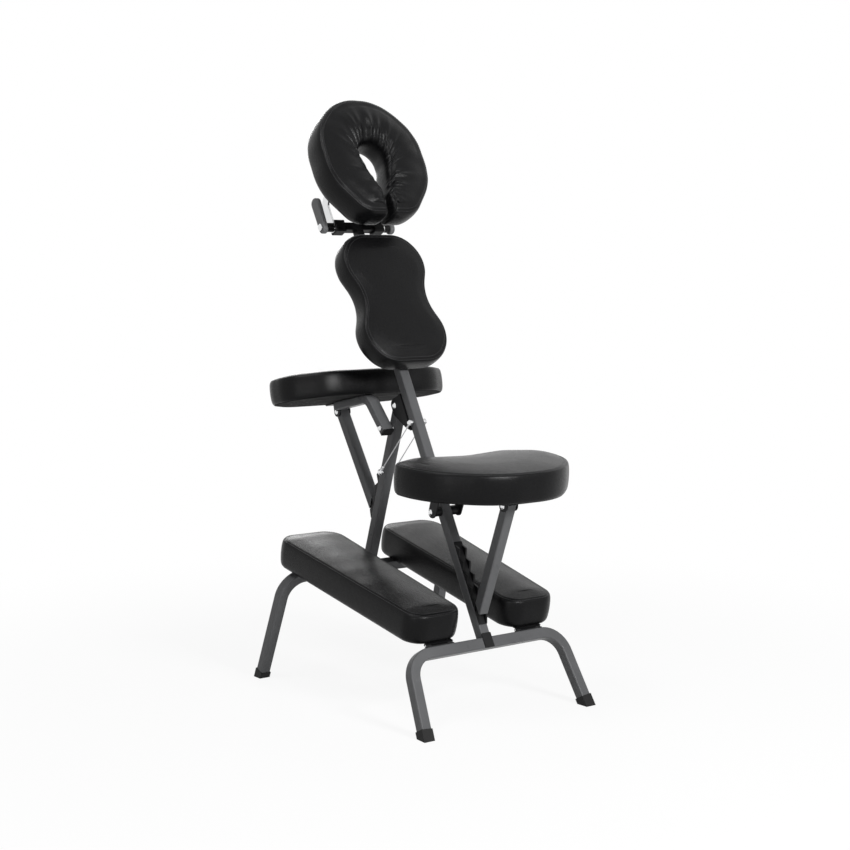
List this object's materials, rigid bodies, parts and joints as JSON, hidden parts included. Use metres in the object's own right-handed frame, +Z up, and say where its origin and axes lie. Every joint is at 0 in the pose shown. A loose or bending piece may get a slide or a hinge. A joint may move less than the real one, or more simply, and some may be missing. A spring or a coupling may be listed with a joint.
{
  "type": "folding massage chair",
  "caption": "Folding massage chair: crossed square-tube frames with padded seat, knee pads, chest pad, armrest and tilting face cradle.",
  "frame": {"origin": "on the floor, in the plane of symmetry, midway between the back of the seat and the front of the armrest", "axes": "+X to the sitter's right, +Y the way the sitter faces, +Z up"},
  "size_m": [0.5372, 0.7806, 1.3861],
  "materials": {
    "leather": "soft satin sheen, faux leather grain",
    "board": "black covered plywood",
    "frame_paint": "dark gunmetal powder coat, satin",
    "black_paint": "black powder coat, satin",
    "chrome": "bright plated",
    "cable_steel": "stranded wire",
    "foot_rubber": "matt black",
    "black_plastic": "fine moulded texture",
    "lever_plastic": "mid grey, moulded"
  },
  "bodies": {
    "rear_frame": {"rear_leg_frame": "frame_paint", "rear_feet": "foot_rubber", "main_post": "frame_paint", "post_cap": "black_paint", "hinge_bracket": "black_paint", "hinge_bolt": "chrome", "seat_rack": "black_paint", "cable_left": "cable_steel", "cable_right": "cable_steel", "cable_bolt_upper": "chrome", "cable_spacers_upper": "chrome", "chest_strip": "black_paint", "chest_board": "board", "chest_pad": "leather", "knee_hinge_bases": "black_paint", "knee_hinge_pins": "chrome", "post_collar": "black_plastic", "seat_pivot_bolt": "chrome"},
    "front_frame": {"front_leg_frame": "frame_paint", "front_feet": "foot_rubber", "front_post": "frame_paint", "armrest_rack": "black_paint", "cable_bolt_lower": "chrome", "cable_spacers_lower": "chrome", "armrest_pivot_bolt": "chrome"},
    "seat": {"seat_board": "board", "seat_pad": "leather", "seat_bracket": "black_paint", "seat_sleeves": "black_paint", "seat_strut_bracket": "black_paint", "seat_strut_bolt": "chrome"},
    "seat_prop": {"seat_strut": "frame_paint", "seat_strut_foot": "black_paint"},
    "armrest": {"armrest_board": "board", "armrest_pad": "leather", "armrest_arm": "frame_paint", "armrest_arm_plug": "black_plastic", "armrest_washer": "chrome", "armrest_strut_bracket": "black_paint", "armrest_strut_bolt": "chrome"},
    "armrest_prop": {"armrest_strut": "frame_paint", "armrest_strut_foot": "black_paint"},
    "knee_left": {"knee_left_board": "board", "knee_left_pad": "leather", "knee_left_leaf": "black_paint"},
    "knee_right": {"knee_right_board": "board", "knee_right_pad": "leather", "knee_right_leaf": "black_paint"},
    "head": {"head_stem": "black_paint", "stem_bush": "black_plastic", "head_crossbar": "black_paint", "friction_blocks": "black_plastic", "cam_cups": "black_plastic", "cradle_spindles": "chrome"},
    "face_cradle": {"cradle_arm_left": "chrome", "cradle_arm_right": "chrome", "cradle_plate": "board", "face_pad": "leather"},
    "lever_left": {"cam_lever_left": "lever_plastic"},
    "lever_right": {"cam_lever_right": "lever_plastic"}
  },
  "joints": [
    {"name": "frame_fold", "type": "hinge", "parent": "rear_frame", "child": "front_frame", "pos_m": [0, 0.09753, 0.66572], "axis": [-1, 0, 0], "range_deg": [0, 45], "deforming": ["cable_left", "cable_right"]},
    {"name": "knee_left_hinge", "type": "hinge", "parent": "rear_frame", "child": "knee_left", "pos_m": [0, -0.22668, 0.17398], "axis": [1, 0, 0], "range_deg": [0, 36.1]},
    {"name": "knee_right_hinge", "type": "hinge", "parent": "rear_frame", "child": "knee_right", "pos_m": [0, -0.22668, 0.17398], "axis": [1, 0, 0], "range_deg": [0, 36.1]},
    {"name": "seat_fold", "type": "hinge", "parent": "rear_frame", "child": "seat", "pos_m": [0, -0.07763, 0.43615], "axis": [-1, 0, 0], "range_deg": [0, 45]},
    {"name": "seat_strut_swing", "type": "hinge", "parent": "seat", "child": "seat_prop", "pos_m": [0, -0.31163, 0.47829], "axis": [-1, 0, 0], "range_deg": [-18.1, 0]},
    {"name": "armrest_tilt", "type": "hinge", "parent": "front_frame", "child": "armrest", "pos_m": [0, 0.11552, 0.6127], "axis": [1, 0, 0], "range_deg": [0, 14]},
    {"name": "armrest_strut_swing", "type": "hinge", "parent": "armrest", "child": "armrest_prop", "pos_m": [0, 0.3507, 0.63189], "axis": [1, 0, 0], "range_deg": [-5, 0]},
    {"name": "head_slide", "type": "slide", "parent": "rear_frame", "child": "head", "axis": [0, 0.4827, 0.8758], "range_m": [0, 0.06]},
    {"name": "cradle_tilt", "type": "hinge", "parent": "head", "child": "face_cradle", "pos_m": [0, 0.28003, 1.08512], "axis": [-1, 0, 0], "range_deg": [0, 40]},
    {"name": "lever_left_turn", "type": "hinge", "parent": "head", "child": "lever_left", "pos_m": [0, 0.28003, 1.08512], "axis": [-1, 0, 0], "range_deg": [0, 90]},
    {"name": "lever_right_turn", "type": "hinge", "parent": "head", "child": "lever_right", "pos_m": [0, 0.28003, 1.08512], "axis": [-1, 0, 0], "range_deg": [0, 90]}
  ],
  "couplings": [
    {"joint": "knee_left_hinge", "follows": "frame_fold", "ratio": 0.8},
    {"joint": "knee_right_hinge", "follows": "frame_fold", "ratio": 0.8},
    {"joint": "seat_strut_swing", "follows": "seat_fold", "ratio": -0.4},
    {"joint": "armrest_strut_swing", "follows": "armrest_tilt", "ratio": -0.35}
  ]
}
